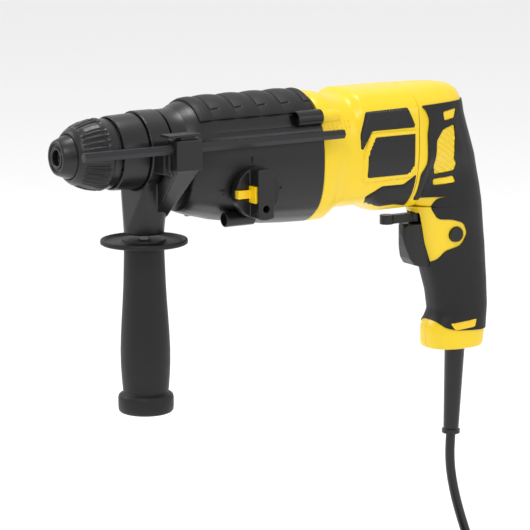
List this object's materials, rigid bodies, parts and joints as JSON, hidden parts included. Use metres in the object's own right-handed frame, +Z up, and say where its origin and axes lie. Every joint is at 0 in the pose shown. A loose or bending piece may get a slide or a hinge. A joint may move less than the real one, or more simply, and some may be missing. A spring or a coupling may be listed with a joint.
{
  "type": "rotary hammer",
  "caption": "Corded pistol-grip rotary hammer with quick-lock tool chuck, mode dial, side handle with depth rod, hammer mechanism, motor and mains lead.",
  "frame": {"origin": "the point where the spindle axis meets the back of the rear grip, where the palm of the holding hand sits", "axes": "+X backwards along the spindle axis, so the tool bit leaves along -X; +Z up; the mode dial and the depth rod face -Y"},
  "size_m": [0.3561, 0.1429, 0.419],
  "materials": {
    "black_shell": "fine-grained moulded",
    "yellow_shell": "satin moulded",
    "soft_rubber": "moulded grip texture",
    "lead_rubber": "smooth matte",
    "label": "gloss film",
    "yellow_button": "satin moulded",
    "turned_steel": "turned and ground",
    "bright_steel": "polished",
    "cast_alloy": "cast",
    "core_steel": "stacked sheets",
    "copper": "enamelled wire",
    "carbon": "pressed carbon"
  },
  "bodies": {
    "tool_body": {"front_seal": "soft_rubber", "gearcase_bearings": "bright_steel", "spindle_carrier": "cast_alloy", "gear_housing": "black_shell", "nose_ring": "black_shell", "top_armour": "soft_rubber", "bearing_bulkhead": "cast_alloy", "case_screws": "bright_steel", "field_core": "core_steel", "field_coils": "copper", "motor_bearings": "bright_steel", "brush_holders": "copper", "motor_bracket": "black_shell", "motor_housing": "yellow_shell", "side_pads": "soft_rubber", "label_plates": "label", "handle_left": "yellow_shell", "handle_right": "yellow_shell", "grip_cover_left": "soft_rubber", "grip_cover_right": "soft_rubber", "switch_module": "black_shell", "cord_guard": "lead_rubber", "power_cord": "lead_rubber", "cord_coil": "lead_rubber", "plug": "lead_rubber"},
    "spindle": {"spindle": "turned_steel", "spindle_gear": "turned_steel", "clutch_spring": "bright_steel", "dust_cap": "black_shell", "sleeve_spring": "bright_steel"},
    "locking_sleeve": {"locking_sleeve": "black_shell", "lock_ring": "turned_steel"},
    "ball_top": {"locking_ball_top": "bright_steel"},
    "ball_bottom": {"locking_ball_bottom": "bright_steel"},
    "impact_bolt": {"impact_bolt": "turned_steel"},
    "striker": {"striker": "turned_steel"},
    "piston": {"piston": "cast_alloy"},
    "piston_pin": {"piston_pin": "bright_steel"},
    "wobble": {"wobble_ring": "turned_steel"},
    "intermediate": {"intermediate_shaft": "turned_steel", "intermediate_gear": "turned_steel", "wobble_hub": "turned_steel"},
    "armature": {"armature_shaft": "turned_steel", "armature_core": "core_steel", "armature_windings": "copper", "commutator": "copper", "cooling_fan": "black_shell"},
    "brush_left": {"brush_left": "carbon"},
    "brush_right": {"brush_right": "carbon"},
    "selector": {"selector_knob": "black_shell"},
    "selector_button": {"selector_button": "yellow_button"},
    "shift_fork": {"shift_fork": "turned_steel"},
    "trigger": {"trigger": "black_shell"},
    "direction_lever": {"direction_lever": "black_shell"},
    "lock_button": {"lock_on_button": "black_shell"},
    "side_handle": {"side_handle_clamp": "black_shell"},
    "side_grip": {"side_grip": "soft_rubber"},
    "clamp_bolt": {"clamp_bolt": "turned_steel"},
    "depth_rod": {"depth_rod": "turned_steel"},
    "depth_stop_button": {"depth_stop_button": "black_shell"}
  },
  "joints": [
    {"name": "armature_spin", "type": "hinge", "parent": "tool_body", "child": "armature", "pos_m": [-0.097, 0, -0.01495], "axis": [1, 0, 0], "continuous": true},
    {"name": "intermediate_spin", "type": "hinge", "parent": "tool_body", "child": "intermediate", "pos_m": [-0.184, 0, -0.03375], "axis": [1, 0, 0], "continuous": true},
    {"name": "spindle_spin", "type": "hinge", "parent": "tool_body", "child": "spindle", "pos_m": [-0.242, 0, 0], "axis": [1, 0, 0], "continuous": true},
    {"name": "sleeve_slide", "type": "slide", "parent": "spindle", "child": "locking_sleeve", "axis": [1, 0, 0], "range_m": [0, 0.0055], "stiffness_N_per_m": 900, "springref_m": -0.012, "deforming": ["sleeve_spring"]},
    {"name": "ball_top_slide", "type": "slide", "parent": "spindle", "child": "ball_top", "axis": [0, 0, 1], "range_m": [0, 0.0013]},
    {"name": "ball_bottom_slide", "type": "slide", "parent": "spindle", "child": "ball_bottom", "axis": [0, 0, -1], "range_m": [0, 0.0013]},
    {"name": "impact_bolt_slide", "type": "slide", "parent": "spindle", "child": "impact_bolt", "axis": [1, 0, 0], "range_m": [-0.003, 0.0015]},
    {"name": "striker_slide", "type": "slide", "parent": "spindle", "child": "striker", "axis": [1, 0, 0], "range_m": [0, 0.004]},
    {"name": "wobble_rock", "type": "hinge", "parent": "tool_body", "child": "wobble", "pos_m": [-0.184, 0, -0.03375], "axis": [0, 1, 0], "range_deg": [-8, 8]},
    {"name": "piston_slide", "type": "slide", "parent": "tool_body", "child": "piston", "axis": [1, 0, 0], "range_m": [-0.0049, 0.0049]},
    {"name": "piston_pin_turn", "type": "hinge", "parent": "piston", "child": "piston_pin", "pos_m": [-0.184, 0, 0], "axis": [0, 1, 0], "range_deg": [-8.2, 8.2]},
    {"name": "selector_turn", "type": "hinge", "parent": "tool_body", "child": "selector", "pos_m": [-0.1975, -0.0435, -0.03], "axis": [0, 1, 0], "range_deg": [0, 180]},
    {"name": "selector_button_press", "type": "slide", "parent": "selector", "child": "selector_button", "axis": [1, 0, 0], "range_m": [0, 0.0018], "stiffness_N_per_m": 600, "springref_m": -0.002},
    {"name": "shift_fork_slide", "type": "slide", "parent": "tool_body", "child": "shift_fork", "axis": [1, 0, 0], "range_m": [0, 0.0025]},
    {"name": "trigger_pull", "type": "slide", "parent": "tool_body", "child": "trigger", "axis": [1, 0, 0], "range_m": [0, 0.0065], "stiffness_N_per_m": 800, "springref_m": -0.006},
    {"name": "direction_lever_swing", "type": "hinge", "parent": "tool_body", "child": "direction_lever", "pos_m": [-0.038, 0, -0.0674], "axis": [0, 0, 1], "range_deg": [-15, 15]},
    {"name": "lock_on_press", "type": "slide", "parent": "tool_body", "child": "lock_button", "axis": [0, 1, 0], "range_m": [0, 0.0025], "stiffness_N_per_m": 600, "springref_m": -0.003},
    {"name": "brush_left_feed", "type": "slide", "parent": "tool_body", "child": "brush_left", "axis": [0, -1, 0], "range_m": [0, 0.0045], "stiffness_N_per_m": 250, "springref_m": -0.012},
    {"name": "brush_right_feed", "type": "slide", "parent": "tool_body", "child": "brush_right", "axis": [0, 1, 0], "range_m": [0, 0.0045], "stiffness_N_per_m": 250, "springref_m": -0.012},
    {"name": "side_handle_swing", "type": "hinge", "parent": "tool_body", "child": "side_handle", "pos_m": [-0.264, 0, 0], "axis": [1, 0, 0], "range_deg": [-180, 15]},
    {"name": "side_grip_twist", "type": "hinge", "parent": "side_handle", "child": "side_grip", "pos_m": [-0.264, 0, -0.12], "axis": [0, 0, 1], "range_deg": [0, 720]},
    {"name": "clamp_bolt_slide", "type": "slide", "parent": "side_handle", "child": "clamp_bolt", "axis": [0, 0, 1], "range_m": [0, 0.0025]},
    {"name": "depth_rod_slide", "type": "slide", "parent": "side_handle", "child": "depth_rod", "axis": [1, 0, 0], "range_m": [-0.09, 0.05]},
    {"name": "depth_stop_press", "type": "slide", "parent": "side_handle", "child": "depth_stop_button", "axis": [0, 0, -1], "range_m": [0, 0.0012], "stiffness_N_per_m": 900, "springref_m": -0.002}
  ],
  "couplings": [
    {"joint": "intermediate_spin", "follows": "armature_spin", "ratio": -0.20513},
    {"joint": "spindle_spin", "follows": "armature_spin", "ratio": 0.058608},
    {"joint": "ball_top_slide", "follows": "sleeve_slide", "ratio": 0.23636},
    {"joint": "ball_bottom_slide", "follows": "sleeve_slide", "ratio": 0.23636},
    {"joint": "piston_slide", "follows": "wobble_rock", "m_per_rad": 0.03375},
    {"joint": "piston_pin_turn", "follows": "wobble_rock", "ratio": 1},
    {"joint": "shift_fork_slide", "follows": "selector_turn", "m_per_rad": 0.0007958},
    {"joint": "clamp_bolt_slide", "follows": "side_grip_twist", "m_per_rad": 0.0001989}
  ]
}
